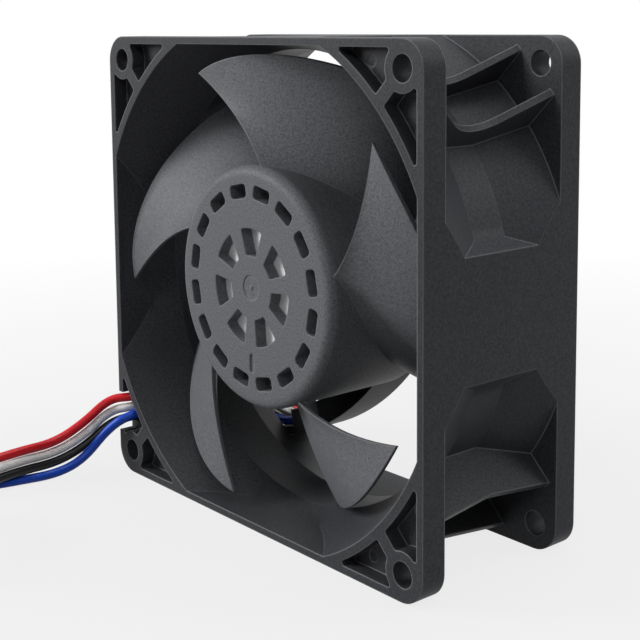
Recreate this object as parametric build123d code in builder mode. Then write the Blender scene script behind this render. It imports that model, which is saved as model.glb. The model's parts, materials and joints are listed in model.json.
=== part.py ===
from build123d import *
import os
from math import atan2, cos, degrees, hypot, radians, sin, sqrt, tan

# A 92 mm square, 38 mm deep axial cooling fan with a five-bladed impeller.
# The fan stands upright: x to the right, y along the air path from the inlet face
# to the outlet face, z up. The origin is at the centre of the foot it stands on.
# "Depth" is always measured backwards from the inlet face. All sizes are in mm.

# Frame
SIDE = 92.0
DEPTH = 38.0
FLANGE_T = 5.0
CORNER_R = 5.0
HOLE_INSET = 4.75
HOLE_R = 2.25
DUCT_INSET = 2.4
MOUTH_FLARE = 5.8
RIM_WALL = 1.4
DUCT_WALL = 1.6
INLET_LONG = 13.5
OUTLET_LONG = 15.5
CONE_LEAD = 0.8
PAD_HALF = 10.75
PAD_DRAFT = 2.4
RIB_T = 1.4
UPPER_RIB_OFFSET = 5.3
LOWER_RIB_OFFSET = 7.5
UPPER_RIB_LOW = 1.1
LOWER_RIB_DIP = 1.5
RIB_FLOOR_R = 9.0
UPPER_RIB_BACK = 1.55
LOWER_RIB_BACK = 3.75
POCKET_DEEP = 3.0
POCKET_WALL = 1.5
POCKET_RIM = 1.6
POCKET_CORNER_R = 0.5
BOSS_R = 4.0
WEB_T = 2.6
EJECTOR_R = 1.05
EJECTOR_DEEP = 0.12
EJECTOR_ALONG = 31.0
EJECTOR_INSET = 2.3

# Motor base and its struts
BASE_R = 21.6
BASE_WALL = 1.5
BASE_DEEP = 9.6
BASE_FLOOR = 2.0
BASE_RECESS_R = 17.0
BASE_RECESS = 0.4
TUBE_BOSS_WALL = 1.9
TUBE_BOSS_LONG = 6.5
STRUT_T = 1.7
STRUT_ROOT_ANGLE = -77.0
STRUT_MID_R = 35.0
STRUT_MID_ANGLE = -108.0
STRUT_END_ANGLE = -125.5
STRUT_COUNT = 4
KEEPER_T = 1.0
KEEPER_END_GAP = 7.5
CHANNEL_ROOF = 0.8
CHANNEL_REACH = 13.0

# Impeller
HUB_STEP = 1.2
HUB_FACE = 1.0
HUB_FACE_T = 2.4
HUB_WALL = 2.4
ROTOR_GAP = 0.8
HUB_EDGE_R = 2.0
BLADE_COUNT = 5
TIP_GAP = 0.8
BLADE_LEAD_ANGLE = 85.5
BLADE_LEAD_SWEEP = 1.80
BLADE_LEAD_CURL = -0.018
BLADE_TAIL_ANGLE = 30.0
BLADE_TAIL_SWEEP = 1.05
BLADE_FRONT = 2.8
BLADE_ROOT_ROOM = 5.4
BLADE_TIP_ROOM = 4.4
BLADE_STATIONS = 5
BLADE_ROOT_SINK = 0.8
BLADE_TIP_OVER = 8.6
NOSE_SHARE = 0.55
TAIL_SHARE = 0.4
ROOT_CAMBER = 1.65
TIP_CAMBER = 6.15
ROOT_T = 1.9
TIP_T = 1.2
SLOT_COUNT = 16
SLOT_R = 17.9
SLOT_WIDE = 2.6
SLOT_ARC = 15.5
SLOT_DEEP = 3.2
SLOT_CORNER_R = 0.8
WINDOW_COUNT = 7
WINDOW_IN_R = 6.0
WINDOW_OUT_R = 11.1
WINDOW_ARC = 33.0
WINDOW_IN_ARC = 28.0
WINDOW_TURN = 88.3
WINDOW_CORNER_R = 0.45
GATE_R = 2.35
GATE_DEEP = 0.15
PIP_R = 0.45
PILL = (3.6, 1.4)
PILL_R = 14.25
PILL_DEEP = 0.35

# Rotor
YOKE_T = 1.0
YOKE_SHOULDER_IN_R = 12.5
YOKE_SHOULDER_DROP = 2.6
YOKE_SHOULDER_INSET = 1.4
YOKE_REAR_INSET = 1.0
MAGNET_T = 2.0
MAGNET_LEAD = 4.6
MAGNET_REAR_INSET = 0.6
AIR_GAP = 0.5
BUSH_R = 4.0
BUSH_NECK_R = 2.6
BUSH_LONG = 4.0
SHAFT_R = 1.5
SHAFT_TAIL = 1.9
SHAFT_CHAMFER = 0.2

# Bearings, each 3 x 8 x 4
BEARING_R = 4.0
BEARING_LONG = 4.0
SPRING_ROOM = 1.8
REAR_BEARING_INSET = 9.7
RACE_WALL = 0.75
BALL_R = 0.75
BALL_COUNT = 7
BALL_PLAY = 0.06
CAGE_T = 0.56
CAGE_LONG = 2.2
TUBE_WALL = 1.0
TUBE_LIP = 0.7
TUBE_LEAD = 1.0
CAP_LONG = 1.6
SPRING_WIRE_R = 0.18
SPRING_TURNS = 3
SPRING_SLACK = 0.25
RING_T = 0.5
RING_R = 2.6
RING_GROOVE = 0.4
RING_MOUTH_SHARE = 0.8
FIT = 0.02
SLIP = 0.05

# Stator and board
POLE_COUNT = 4
STACK_LEAD = 7.1
STACK_ROOM = 4.9
CORE_BACK_R = 8.2
TOOTH_WIDE = 5.0
POLE_SHOE_T = 1.7
POLE_GAP = 3.0
INSULATOR_T = 1.0
INSULATOR_RIM = 3.0
COIL_GAP = 0.3
COIL_THICK = 2.6
COIL_TALL_T = 2.0
COIL_CORNER_R = 1.8
BOARD_T = 1.0
BOARD_SETBACK = 0.4
BOARD_R_GAP = 0.5
CHIP = (5.0, 4.0, 1.5)
SENSOR = (4.1, 3.0, 0.9)
SENSOR_INSET = 2.7
CAPACITOR = (2.0, 1.25, 1.1)
CHIP_OUT = 13.0
CHIP_ANGLE = 130.0
CAPACITOR_STEP = 32.0
PIN_R = 0.35
PIN_STAND = 1.2

# Leads
LEAD_R = 0.95
LEAD_PITCH = 1.95
LEAD_NAMES = ("blue", "black", "white", "red")
CABLE_BACK = 7.15
CABLE_SPREAD = 2.0
LEAVE_GAP = 4.5
LEAVE_RUN = 2.6
BOARD_REACH = 2.0
BOARD_STEP = 2.6
BOARD_BEND_R = 1.0
RUN_LEAD = 3.4
RUN_STEP = 1.5
RUN_SLANT = 12.0
CABLE_SLOT_BACK = 4.85
CABLE_SLOT_TOOTH = 2.5
CABLE_SLOT_STEPS = (2.2, 3.7, 5.2)
CABLE_SLOT_FLARE = 1.2
CABLE_SIDE_ROOM = 1.0
NOTCH_TOP = 16.6
NOTCH_LONG = 8.4
OPENING_TOP = 16.8
OPENING_LONG = 7.0
OPENING_WIDE = 6.5
COIL_CENTRE = (9.0, -58.0)
COIL_R = 16.0
COIL_TALL = 12.65
COIL_ENTRY = 13.0
COIL_EXIT = 12.0
PLUG_LONG = 12.0
PLUG_TALL = 6.2
PLUG_PITCH = 2.54
PLUG_WALL = 1.0
PLUG_EDGE_R = 0.4
PLUG_X = 40.0
PLUG_RIB = (8.0, 1.0, 0.8)
CAVITY_DEEP = 4.0
TERMINAL_SIDE = 1.2
TERMINAL_LONG = 6.5

# Routes of the free leads, from the wire notch to the coil, as points chosen by hand. They are
# measured from the lower left corner of the inlet face, and so are the coil and the plug.
LEAD_ROUTES = {
    "blue": [
        (4.7, 6.0, 12.6),
        (4.7, -0.6, 12.6),
        (0.4, -3.4, 8.9),
        (-1.5, -8.2, 3.0),
        (-2.4, -14.0, 0.95),
        (-3.9, -22.0, 0.95),
        (-5.9, -31.0, 0.95),
        (-7.98, -39.5, 0.95),
        (-7.98, -45.0, 0.95),
    ],
    "black": [
        (2.7, 6.0, 11.4),
        (2.7, 1.8, 11.4),
        (-2.3, -1.2, 9.4),
        (-3.1, -6.6, 5.3),
        (-3.6, -13.5, 2.95),
        (-3.7, -22.0, 3.05),
        (-3.5, -31.0, 2.2),
        (-6.02, -39.5, 0.95),
        (-6.02, -45.0, 0.95),
    ],
    "white": [
        (2.7, 6.0, 13.45),
        (2.7, 1.8, 13.45),
        (-2.4, -1.1, 12.0),
        (-3.1, -6.8, 7.7),
        (-3.8, -13.6, 5.0),
        (-4.0, -22.0, 5.05),
        (-3.7, -31.0, 4.15),
        (-6.02, -39.5, 2.9),
        (-6.02, -45.0, 2.9),
    ],
    "red": [
        (2.7, 6.0, 15.5),
        (2.7, 1.8, 15.5),
        (-2.5, -1.0, 14.6),
        (-3.2, -7.0, 10.2),
        (-4.0, -13.7, 7.1),
        (-4.3, -22.0, 7.0),
        (-5.7, -31.0, 5.6),
        (-7.98, -39.5, 2.9),
        (-7.98, -45.0, 2.9),
    ],
}

# Routes of the lead ends, from the coil to the plug.
LEAD_TAILS = {
    "blue": [(21.0, -74.98, 9.73), (24.5, -74.98, 9.73), (33.0, -75.27, 3.1), (43.5, -75.27, 3.1)],
    "black": [(21.0, -73.02, 9.73), (24.5, -73.02, 9.73), (33.0, -72.73, 3.1), (43.5, -72.73, 3.1)],
    "white": [(21.0, -73.02, 11.68), (26.5, -73.02, 11.68), (35.0, -70.19, 3.1), (43.5, -70.19, 3.1)],
    "red": [(21.0, -74.98, 11.68), (26.5, -74.98, 11.68), (35.0, -77.81, 3.1), (43.5, -77.81, 3.1)],
}

# Places that follow from the sizes above
THROAT_R = SIDE / 2 - DUCT_INSET
MOUTH_R = THROAT_R + MOUTH_FLARE
BARREL_R = THROAT_R + DUCT_WALL
OUTLET_START = DEPTH - OUTLET_LONG
FLAT = SIDE / 2 - RIM_WALL
HOLE_PITCH = SIDE - 2 * HOLE_INSET
HOLE_OUT = HOLE_PITCH / sqrt(2)
BASE_FRONT = DEPTH - BASE_DEEP
HUB_R = BASE_R + HUB_STEP
BASE_BORE_R = BASE_R - BASE_WALL
TIP_R = THROAT_R - TIP_GAP
HUB_REAR = BASE_FRONT - ROTOR_GAP
BLADE_BACK_ROOT = BASE_FRONT - BLADE_ROOT_ROOM
BLADE_BACK_TIP = BASE_FRONT - BLADE_TIP_ROOM
YOKE_R = HUB_R - HUB_WALL
YOKE_FRONT = HUB_FACE + HUB_FACE_T
YOKE_REAR = HUB_REAR - YOKE_REAR_INSET
MAGNET_R = YOKE_R - YOKE_T
MAGNET_REAR = YOKE_REAR - MAGNET_REAR_INSET
MAGNET_FRONT = YOKE_FRONT + YOKE_T + MAGNET_LEAD
STATOR_R = MAGNET_R - MAGNET_T - AIR_GAP
TUBE_IN_R = BEARING_R + FIT
TUBE_OUT_R = TUBE_IN_R + TUBE_WALL
BUSH_REAR = YOKE_FRONT + YOKE_T + BUSH_LONG
FRONT_BEARING = BUSH_REAR + SPRING_ROOM
REAR_BEARING = DEPTH - REAR_BEARING_INSET
TUBE_FRONT = FRONT_BEARING - TUBE_LEAD
TUBE_REAR = DEPTH - BASE_RECESS
RING_FRONT = REAR_BEARING + BEARING_LONG + SLIP
SHAFT_END = RING_FRONT + RING_T + SHAFT_TAIL
STACK_FRONT = YOKE_FRONT + YOKE_T + STACK_LEAD
STACK_REAR = BASE_FRONT - STACK_ROOM
STACK_LONG = STACK_REAR - STACK_FRONT
BOARD_FRONT = BASE_FRONT - BOARD_SETBACK
BOARD_REAR = BOARD_FRONT + BOARD_T
PITCH_R = (SHAFT_R + BEARING_R) / 2
CHANNEL_FRONT = BASE_FRONT + CHANNEL_ROOF
CHANNEL_WIDE = 2 * LEAD_R + 3 * SLIP
LEAD_DEPTHS = [CHANNEL_FRONT + SLIP + LEAD_R + LEAD_PITCH * n for n in range(4)]

axle = Axis((0, 0, SIDE / 2), (0, 1, 0))
section = Plane(origin=(0, -DEPTH / 2, SIDE / 2), x_dir=(1, 0, 0), z_dir=(0, 0, 1))


def across(depth):
    """Plane across the air path at a depth: x to the right and y up, as seen from the inlet."""
    return Plane(origin=(0, depth - DEPTH / 2, SIDE / 2), x_dir=(1, 0, 0), z_dir=(0, -1, 0))


def polar(radius, angle):
    """Point in a plane across the air path, the angle in degrees from the x axis."""
    return (radius * cos(radians(angle)), radius * sin(radians(angle)))


def at_depth(point, depth):
    """A point of a plane across the air path, in the fan's own frame."""
    return Vector(point[0], depth - DEPTH / 2, point[1] + SIDE / 2)


def from_corner(points):
    """Points measured from the lower left corner of the inlet face, in the fan's own frame."""
    return [Vector(*point) + Vector(-SIDE / 2, -DEPTH / 2, 0) for point in points]


def finish(part, name):
    """Label a piece and write it to its own file."""
    part.label = name
    export_step(part, f"parts/{name}.step")


def corner_radii(points, share=0.45):
    """Radius of the arc at each inner point of a route: as large as its two runs allow."""
    radii = []
    for a, b, c in zip(points, points[1:], points[2:]):
        before, after = Vector(*b) - Vector(*a), Vector(*c) - Vector(*b)
        half_turn = radians(before.get_angle(after)) / 2
        radii.append(share * min(before.length, after.length) / tan(half_turn))
    return radii


def wire_along(points, radii):
    """A round lead along straight runs joined by tangent arcs."""
    points = [Vector(*point) for point in points]
    edges, at = [], points[0]
    for before, corner, after, radius in zip(points, points[1:], points[2:], radii):
        way_in, way_out = (corner - before).normalized(), (after - corner).normalized()
        half_turn = radians(way_in.get_angle(way_out)) / 2
        start = corner - way_in * radius * tan(half_turn)
        end = corner + way_out * radius * tan(half_turn)
        middle = corner + (way_out - way_in).normalized() * radius * (1 / cos(half_turn) - 1)
        edges += [Edge.make_line(at, start), Edge.make_three_point_arc(start, middle, end)]
        at = end
    edges.append(Edge.make_line(at, points[-1]))
    route = Wire(edges)
    with BuildPart() as wire:
        with BuildSketch(Plane(origin=points[0], z_dir=route % 0)):
            Circle(LEAD_R)
        sweep(path=route)
    return wire.part


os.makedirs("parts", exist_ok=True)

# The air path: a straight throat between an inlet cone and an outlet cone, both
# cut by four flats where they would break out of the square frame.
with BuildPart() as air_path:
    with BuildSketch(section):
        with BuildLine():
            Polyline(
                (0, 0),
                (MOUTH_R, 0),
                (THROAT_R, INLET_LONG),
                (THROAT_R, OUTLET_START),
                (MOUTH_R, DEPTH),
                (0, DEPTH),
                close=True,
            )
        make_face()
    revolve(axis=axle)
    with BuildSketch(across(DEPTH)):
        Rectangle(2 * FLAT, 2 * FLAT)
    extrude(amount=DEPTH, mode=Mode.INTERSECT)

# The barrel's outside, which also limits how far the struts reach.
with BuildPart() as barrel:
    with BuildSketch(section):
        with BuildLine():
            Polyline(
                (0, 0),
                (MOUTH_R + DUCT_WALL, 0),
                (BARREL_R, INLET_LONG + CONE_LEAD),
                (BARREL_R, OUTLET_START - CONE_LEAD),
                (MOUTH_R + DUCT_WALL, DEPTH),
                (0, DEPTH),
                close=True,
            )
        make_face()
    revolve(axis=axle)
    with BuildSketch(across(DEPTH)):
        Rectangle(SIDE, SIDE)
    extrude(amount=DEPTH, mode=Mode.INTERSECT)

# A strut's centre line: an arc from the motor base out to the barrel.
strut_root = polar(BASE_R - BASE_WALL / 2, STRUT_ROOT_ANGLE)
strut_mid = polar(STRUT_MID_R, STRUT_MID_ANGLE)
strut_end = polar(MOUTH_R, STRUT_END_ANGLE)
strut_arc = Edge.make_three_point_arc(strut_root, strut_mid, strut_end)
strut_centre = strut_arc.arc_center
strut_radius = strut_arc.radius


def bearing_of(point):
    """Direction of a point from the centre of the strut's arc, in degrees."""
    return degrees(atan2(point[1] - strut_centre.Y, point[0] - strut_centre.X))


def on_strut(bearing, offset):
    """A point beside the strut, on the side of the arc's centre, at a bearing from it."""
    x, y = polar(strut_radius - offset, bearing)
    return (strut_centre.X + x, strut_centre.Y + y)


def along_strut(bearing, back):
    """Unit vector along the strut at a bearing, outwards, or inwards if back."""
    turn = 90 * (-1 if OUTWARD_TURN < 0 else 1) + (180 if back else 0)
    return polar(1.0, bearing + turn)


root_bearing = bearing_of(strut_root)
end_bearing = bearing_of(strut_end)
OUTWARD_TURN = end_bearing - root_bearing
degrees_per_mm = OUTWARD_TURN / abs(OUTWARD_TURN) * degrees(1 / strut_radius)
keeper_end = end_bearing - KEEPER_END_GAP * degrees_per_mm
channel_offset = (STRUT_T + CHANNEL_WIDE) / 2
keeper_offset = channel_offset + (CHANNEL_WIDE + KEEPER_T) / 2
roof_offset = channel_offset + KEEPER_T / 2


def strip(offset, width, from_bearing, to_bearing):
    """A band of even width that runs beside the strut's centre line."""
    middle = (from_bearing + to_bearing) / 2
    near, far = offset + width / 2, offset - width / 2
    edges = [
        Edge.make_three_point_arc(*[on_strut(at, near) for at in (from_bearing, middle, to_bearing)]),
        Edge.make_line(on_strut(to_bearing, near), on_strut(to_bearing, far)),
        Edge.make_three_point_arc(*[on_strut(at, far) for at in (to_bearing, middle, from_bearing)]),
        Edge.make_line(on_strut(from_bearing, far), on_strut(from_bearing, near)),
    ]
    face = Face(Wire(edges))
    return face if face.normal_at().Z > 0 else -face


with BuildPart() as struts:
    with BuildSketch(across(DEPTH)):
        for n in range(STRUT_COUNT):
            add(strip(0, STRUT_T, root_bearing, end_bearing).rotate(Axis.Z, n * 360 / STRUT_COUNT))
        add(strip(keeper_offset, KEEPER_T, root_bearing, keeper_end))
    extrude(amount=BASE_DEEP)
    with BuildSketch(across(CHANNEL_FRONT)):
        add(strip(roof_offset, CHANNEL_WIDE + KEEPER_T + STRUT_T / 2, root_bearing, keeper_end))
    extrude(amount=CHANNEL_ROOF)
    add(barrel.part, mode=Mode.INTERSECT)

# The three-sided pockets that lighten each flange corner.
with BuildSketch() as pockets:
    Rectangle(SIDE - 2 * POCKET_WALL, SIDE - 2 * POCKET_WALL)
    Circle(MOUTH_R + POCKET_RIM, mode=Mode.SUBTRACT)
    with GridLocations(HOLE_PITCH, HOLE_PITCH, 2, 2):
        Circle(BOSS_R, mode=Mode.SUBTRACT)
    for web_angle in (45, 135):
        Rectangle(2 * SIDE, WEB_T, rotation=web_angle, mode=Mode.SUBTRACT)
    fillet(pockets.vertices(), radius=POCKET_CORNER_R)

rib_foot = BARREL_R - DUCT_WALL / 2


def corner_rib(angle, offset, reach, low):
    """A rib beside a corner's diagonal: its free edge runs from reach at the flanges to low midway."""
    outward = (cos(radians(angle)), 0, sin(radians(angle)))
    sideways = (-sin(radians(angle)), 0, cos(radians(angle)))
    diagonal = Plane(origin=(0, -DEPTH / 2, SIDE / 2), x_dir=outward, z_dir=sideways)
    with BuildPart() as rib:
        with BuildSketch(diagonal.offset(offset - RIB_T / 2)) as outline:
            with BuildLine():
                Polyline(
                    (rib_foot, FLANGE_T),
                    (reach, FLANGE_T),
                    (low, DEPTH / 2),
                    (reach, DEPTH - FLANGE_T),
                    (rib_foot, DEPTH - FLANGE_T),
                    close=True,
                )
            make_face()
            fillet(outline.vertices().sort_by(Axis.Y)[2], radius=RIB_FLOOR_R)
        extrude(amount=RIB_T)
    return rib.part


# Ribs flank the screw holes. The lower left corner has one only: the leads take the other's place.
upper_rib = (HOLE_OUT - UPPER_RIB_BACK, BARREL_R + UPPER_RIB_LOW)
lower_rib = (HOLE_OUT - LOWER_RIB_BACK, HOLE_OUT - LOWER_RIB_BACK - LOWER_RIB_DIP)
RIBS = [
    (45, UPPER_RIB_OFFSET, *upper_rib),
    (45, -UPPER_RIB_OFFSET, *upper_rib),
    (135, UPPER_RIB_OFFSET, *upper_rib),
    (135, -UPPER_RIB_OFFSET, *upper_rib),
    (225, LOWER_RIB_OFFSET, *lower_rib),
    (315, LOWER_RIB_OFFSET, *lower_rib),
    (315, -LOWER_RIB_OFFSET, *lower_rib),
]


def in_lead_corner(out, side):
    """Point at the lower left corner: how far out along its diagonal, and how far to the foot's side."""
    return ((side - out) / sqrt(2), -(side + out) / sqrt(2))


slot_side = LOWER_RIB_OFFSET + RIB_T / 2 + 2 * SLIP
slot_far_side = CABLE_SPREAD * 1.5 + LEAD_R + CABLE_SIDE_ROOM
slot_out = HOLE_OUT - CABLE_SLOT_BACK
cable_slot = [
    in_lead_corner(THROAT_R, slot_side + CABLE_SLOT_FLARE),
    in_lead_corner(BARREL_R + 2 * DUCT_WALL, slot_side + CABLE_SLOT_FLARE),
    in_lead_corner(slot_out, slot_side),
    in_lead_corner(slot_out + CABLE_SLOT_TOOTH, slot_side - CABLE_SLOT_STEPS[0]),
    in_lead_corner(slot_out + CABLE_SLOT_TOOTH, slot_side - CABLE_SLOT_STEPS[1]),
    in_lead_corner(slot_out, slot_side - CABLE_SLOT_STEPS[2]),
    in_lead_corner(slot_out, -slot_far_side),
    in_lead_corner(THROAT_R, -slot_far_side),
]

# The leads lie one behind another in the channel, so the slot for them is one lead wide.
lead_leave = end_bearing - LEAVE_GAP * degrees_per_mm
channel_in = on_strut(root_bearing, channel_offset)
inward = along_strut(root_bearing, back=True)
channel_sides = [on_strut(root_bearing, channel_offset + side * CHANNEL_WIDE / 2) for side in (-1, 1)]
channel_starts = [(x + CHANNEL_REACH * inward[0], y + CHANNEL_REACH * inward[1]) for x, y in channel_sides]
pocket_floor = SIDE / 2 - POCKET_WALL

# Round ejector marks on the pockets' floors, but for the floor that the leads pass through
ejector_out = pocket_floor - EJECTOR_INSET
ejector_places = [(x, z) for x in (-EJECTOR_ALONG, EJECTOR_ALONG) for z in (-ejector_out, ejector_out)]
ejector_places += [(x, EJECTOR_ALONG) for x in (-ejector_out, ejector_out)]
ejector_places += [(ejector_out, -EJECTOR_ALONG)]

with BuildPart() as frame_housing:
    add(barrel.part)
    with BuildSketch(across(DEPTH - FLANGE_T)):
        with PolarLocations(0, 4):
            Polygon(
                (THROAT_R - 1, -PAD_HALF - PAD_DRAFT),
                (SIDE / 2, -PAD_HALF),
                (SIDE / 2, PAD_HALF),
                (THROAT_R - 1, PAD_HALF + PAD_DRAFT),
                align=None,
            )
    extrude(amount=DEPTH - 2 * FLANGE_T)
    for flange_rear in (FLANGE_T, DEPTH):
        with BuildSketch(across(flange_rear)):
            RectangleRounded(SIDE, SIDE, CORNER_R)
        extrude(amount=FLANGE_T)
    for rib in RIBS:
        add(corner_rib(*rib))
    add(air_path.part, mode=Mode.SUBTRACT)
    # The way out for the leads, through the outlet cone and the rear flange
    with BuildSketch(across(DEPTH)):
        Polygon(*cable_slot, align=None)
    extrude(amount=BASE_DEEP, mode=Mode.SUBTRACT)
    # The struts and the cup that carries the motor
    add(struts.part)
    with BuildSketch(across(DEPTH)):
        Circle(BASE_R)
    extrude(amount=BASE_DEEP)
    with BuildSketch(across(DEPTH - BASE_FLOOR)):
        Circle(BASE_BORE_R)
    extrude(amount=BASE_DEEP - BASE_FLOOR, mode=Mode.SUBTRACT)
    with BuildSketch(across(DEPTH)):
        Circle(TUBE_OUT_R + FIT + TUBE_BOSS_WALL)
    extrude(amount=TUBE_BOSS_LONG)
    with BuildSketch(across(DEPTH)):
        Circle(BASE_RECESS_R)
    extrude(amount=BASE_RECESS, mode=Mode.SUBTRACT)
    with BuildSketch(across(DEPTH)):
        Circle(TUBE_OUT_R + FIT)
    extrude(amount=TUBE_BOSS_LONG, mode=Mode.SUBTRACT)
    with BuildSketch(across(DEPTH)):
        add(strip(channel_offset, CHANNEL_WIDE, root_bearing - degrees_per_mm, keeper_end))
        Polygon(*channel_sides, *reversed(channel_starts), align=None)
    extrude(amount=DEPTH - CHANNEL_FRONT, mode=Mode.SUBTRACT)
    # Screw holes, pockets and the wire notch
    with BuildSketch(across(DEPTH)):
        with GridLocations(HOLE_PITCH, HOLE_PITCH, 2, 2):
            Circle(HOLE_R)
    extrude(amount=DEPTH, mode=Mode.SUBTRACT)
    for pocket_rear in (POCKET_DEEP, DEPTH):
        with BuildSketch(across(pocket_rear)):
            add(pockets.sketch)
        extrude(amount=POCKET_DEEP, mode=Mode.SUBTRACT)
    with BuildSketch(across(POCKET_DEEP + EJECTOR_DEEP)):
        with Locations(*ejector_places):
            Circle(EJECTOR_R)
    extrude(amount=EJECTOR_DEEP, mode=Mode.SUBTRACT)
    with BuildSketch(across(POCKET_DEEP)):
        with Locations((-SIDE / 2, NOTCH_TOP - NOTCH_LONG / 2 - SIDE / 2)):
            Rectangle(2 * POCKET_WALL + 1, NOTCH_LONG)
    extrude(amount=POCKET_DEEP, mode=Mode.SUBTRACT)
    with BuildSketch(across(FLANGE_T)):
        with Locations((-pocket_floor + OPENING_WIDE / 2, OPENING_TOP - OPENING_LONG / 2 - SIDE / 2)):
            Rectangle(OPENING_WIDE, OPENING_LONG)
        Circle(MOUTH_R + POCKET_RIM, mode=Mode.SUBTRACT)
    extrude(amount=FLANGE_T, mode=Mode.SUBTRACT)
finish(frame_housing.part, "frame_housing")


def spun(name, *outlines):
    """A piece turned about the fan's axis from closed outlines of (radius, depth) points."""
    with BuildPart() as piece:
        with BuildSketch(section):
            for outline in outlines:
                with BuildLine():
                    Polyline(*outline, close=True)
                make_face()
        revolve(axis=axle)
    finish(piece.part, name)
    return piece.part


def band(inner, outer, front, rear):
    """Outline of a plain ring's section."""
    return [(inner, front), (outer, front), (outer, rear), (inner, rear)]


# Impeller blades: cambered sections across the blade, each in the plane of its own chord.
def blade_section(radius):
    """Plane, chord length and the shape numbers of the blade's section at a radius."""
    out = radius - HUB_R
    share = out / (TIP_R - HUB_R)
    lead = polar(radius, BLADE_LEAD_ANGLE + BLADE_LEAD_SWEEP * out + BLADE_LEAD_CURL * out**2)
    tail = polar(radius, BLADE_TAIL_ANGLE + BLADE_TAIL_SWEEP * out)
    along = Vector(tail[0] - lead[0], 0, tail[1] - lead[1])
    plane = Plane(origin=at_depth(lead, 0), x_dir=along, z_dir=along.cross(Vector(0, 1, 0)))
    back = BLADE_BACK_ROOT + (BLADE_BACK_TIP - BLADE_BACK_ROOT) * share
    camber = ROOT_CAMBER + (TIP_CAMBER - ROOT_CAMBER) * share
    thick = ROOT_T + (TIP_T - ROOT_T) * share
    return plane, along.length, back, camber, thick


with BuildPart() as blade:
    for step in range(BLADE_STATIONS):
        station = HUB_R - BLADE_ROOT_SINK + step * (TIP_R + BLADE_TIP_OVER - HUB_R) / (BLADE_STATIONS - 1)
        plane, chord, back, camber, thick = blade_section(station)
        rise = back - BLADE_FRONT
        slant = hypot(chord, rise)
        ahead = Vector(chord / slant, rise / slant)
        front_side = Vector(ahead.Y, -ahead.X)
        nose, tail = Vector(0, BLADE_FRONT), Vector(chord, back)
        crown = (nose + tail) * 0.5 + front_side * camber
        nose_half, tail_half = front_side * thick * NOSE_SHARE / 2, front_side * thick * TAIL_SHARE / 2
        with BuildSketch(plane):
            with BuildLine():
                ThreePointArc(nose + nose_half, crown + front_side * (thick / 2), tail + tail_half)
                Line(tail + tail_half, tail - tail_half)
                ThreePointArc(tail - tail_half, crown - front_side * (thick / 2), nose - nose_half)
                ThreePointArc(nose - nose_half, nose - ahead * nose_half.length, nose + nose_half)
            make_face()
    loft()
    with BuildSketch(section):
        with BuildLine():
            Polyline(*band(HUB_R - HUB_WALL / 3, TIP_R, HUB_FACE, HUB_REAR), close=True)
        make_face()
    revolve(axis=axle, mode=Mode.INTERSECT)

# Windows in the hub's face show the steel yoke behind it.
with BuildSketch() as window:
    with BuildLine():
        outer_edge = CenterArc((0, 0), WINDOW_OUT_R, -WINDOW_ARC / 2, WINDOW_ARC)
        inner_edge = CenterArc((0, 0), WINDOW_IN_R, -WINDOW_IN_ARC / 2, WINDOW_IN_ARC)
        Line(outer_edge @ 0, inner_edge @ 0)
        Line(outer_edge @ 1, inner_edge @ 1)
    make_face()
    fillet(window.vertices(), radius=WINDOW_CORNER_R)

yoke_shoulder = YOKE_R - YOKE_SHOULDER_INSET
shoulder_depth = YOKE_FRONT + YOKE_SHOULDER_DROP
with BuildPart() as impeller:
    with BuildSketch(section) as hub_section:
        with BuildLine():
            Polyline(
                (0, HUB_FACE),
                (HUB_R, HUB_FACE),
                (HUB_R, HUB_REAR),
                (YOKE_R, HUB_REAR),
                (YOKE_R, shoulder_depth + YOKE_SHOULDER_INSET),
                (yoke_shoulder, shoulder_depth),
                (YOKE_SHOULDER_IN_R, YOKE_FRONT),
                (0, YOKE_FRONT),
                close=True,
            )
        make_face()
        fillet(hub_section.vertices().group_by(Axis.Y)[0].sort_by(Axis.X)[-1], radius=HUB_EDGE_R)
    revolve(axis=axle)
    for turn in range(BLADE_COUNT):
        add(blade.part.rotate(axle, turn * 360 / BLADE_COUNT))
    with BuildSketch(across(HUB_FACE + SLOT_DEEP)):
        with PolarLocations(SLOT_R, SLOT_COUNT, start_angle=180 / SLOT_COUNT):
            RectangleRounded(SLOT_WIDE, 2 * SLOT_R * sin(radians(SLOT_ARC / 2)), SLOT_CORNER_R)
    extrude(amount=SLOT_DEEP, mode=Mode.SUBTRACT)
    with BuildSketch(across(YOKE_FRONT)):
        with PolarLocations(0, WINDOW_COUNT, start_angle=WINDOW_TURN):
            add(window.sketch)
    extrude(amount=HUB_FACE_T, mode=Mode.SUBTRACT)
    with BuildSketch(across(HUB_FACE + GATE_DEEP)):
        Circle(GATE_R)
        Circle(PIP_R, mode=Mode.SUBTRACT)
    extrude(amount=GATE_DEEP, mode=Mode.SUBTRACT)
    with BuildSketch(across(HUB_FACE + PILL_DEEP)):
        with Locations((0, -PILL_R)):
            SlotOverall(*PILL, rotation=90)
    extrude(amount=PILL_DEEP, mode=Mode.SUBTRACT)
finish(impeller.part, "impeller")

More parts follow.
